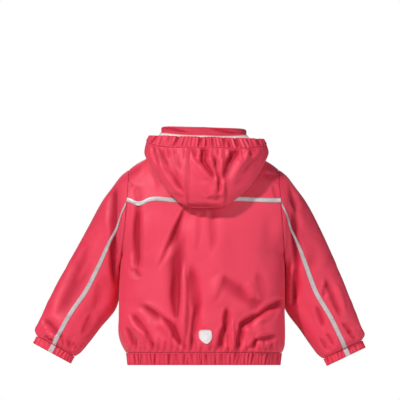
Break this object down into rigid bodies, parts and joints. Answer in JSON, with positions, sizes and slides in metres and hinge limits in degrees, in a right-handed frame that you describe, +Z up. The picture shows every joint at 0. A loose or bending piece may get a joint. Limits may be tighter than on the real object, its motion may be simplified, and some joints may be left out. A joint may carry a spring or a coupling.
{
  "type": "kids hooded rain jacket",
  "caption": "Hollow, filled-out kids rain jacket with a gathered hood hanging down the back, elastic hem and cuffs, and reflective tapes.",
  "frame": {"origin": "middle of the neck opening, where the wearer's shoulders and neck hold the jacket", "axes": "+Z up, the back of the jacket towards -Y and its front towards +Y; seen from the back, the jacket's left sleeve in the picture is at -X"},
  "size_m": [0.6994, 0.216, 0.5036],
  "materials": {
    "coral_coated_cloth": "smooth rubber-like coating with a soft satin sheen",
    "coral_gathered_cloth": "the same coated cloth gathered over elastic",
    "pale_lining": "thin matte lining",
    "reflective_tape": "silver grey reflective tape, satin",
    "silver_badge": "reflective silver grey badge, satin",
    "stud_cap": "painted press-stud cap"
  },
  "bodies": {
    "root": {"back_badge": "silver_badge", "back_panel": "coral_coated_cloth", "back_yoke": "coral_coated_cloth", "collar": "coral_coated_cloth", "cuff_left": "coral_coated_cloth", "cuff_right": "coral_coated_cloth", "cuff_tape_left": "reflective_tape", "cuff_tape_right": "reflective_tape", "front_left": "coral_coated_cloth", "front_placket": "coral_coated_cloth", "front_right": "coral_coated_cloth", "hem_band": "coral_gathered_cloth", "hood_casing": "coral_coated_cloth", "hood_centre": "coral_coated_cloth", "hood_left": "coral_coated_cloth", "hood_lining": "pale_lining", "hood_right": "coral_coated_cloth", "sleeve_left_under": "coral_coated_cloth", "sleeve_left_upper": "coral_coated_cloth", "sleeve_right_under": "coral_coated_cloth", "sleeve_right_upper": "coral_coated_cloth", "sleeve_tape_left": "reflective_tape", "sleeve_tape_right": "reflective_tape", "stud_1": "stud_cap", "stud_2": "stud_cap", "stud_3": "stud_cap", "stud_4": "stud_cap", "stud_5": "stud_cap", "stud_6": "stud_cap", "yoke_tape": "reflective_tape"}
  },
  "joints": []
}
